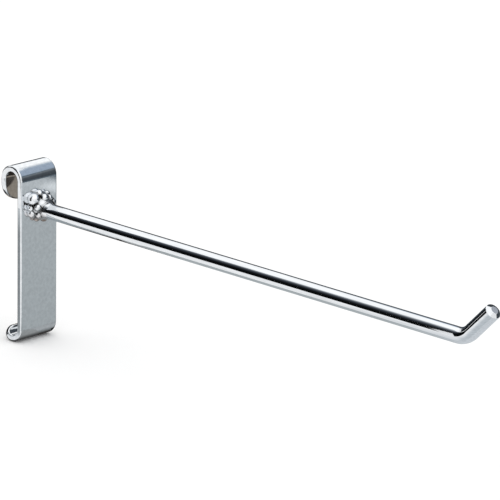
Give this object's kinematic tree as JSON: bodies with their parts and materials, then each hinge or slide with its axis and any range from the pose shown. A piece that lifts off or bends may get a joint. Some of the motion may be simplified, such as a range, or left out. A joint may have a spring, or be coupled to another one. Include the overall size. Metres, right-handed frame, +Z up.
{
  "type": "gridwall hook",
  "caption": "Chromed display hook: a folded steel back plate that clips over the wires of a grid panel, with a long round arm that ends in a turned-up tip.",
  "frame": {"origin": "centre of the upper grid wire that the back plate is bent over, halfway across the plate", "axes": "+X along the arm, away from the grid; +Y along the grid wires; +Z up"},
  "size_m": [0.32, 0.0244, 0.0912],
  "materials": {
    "chromed_sheet": "bright chrome plate on sheet steel",
    "chromed_wire": "bright chrome plate on drawn steel wire"
  },
  "bodies": {
    "root": {"back_plate": "chromed_sheet", "hook_arm": "chromed_wire"}
  },
  "joints": []
}
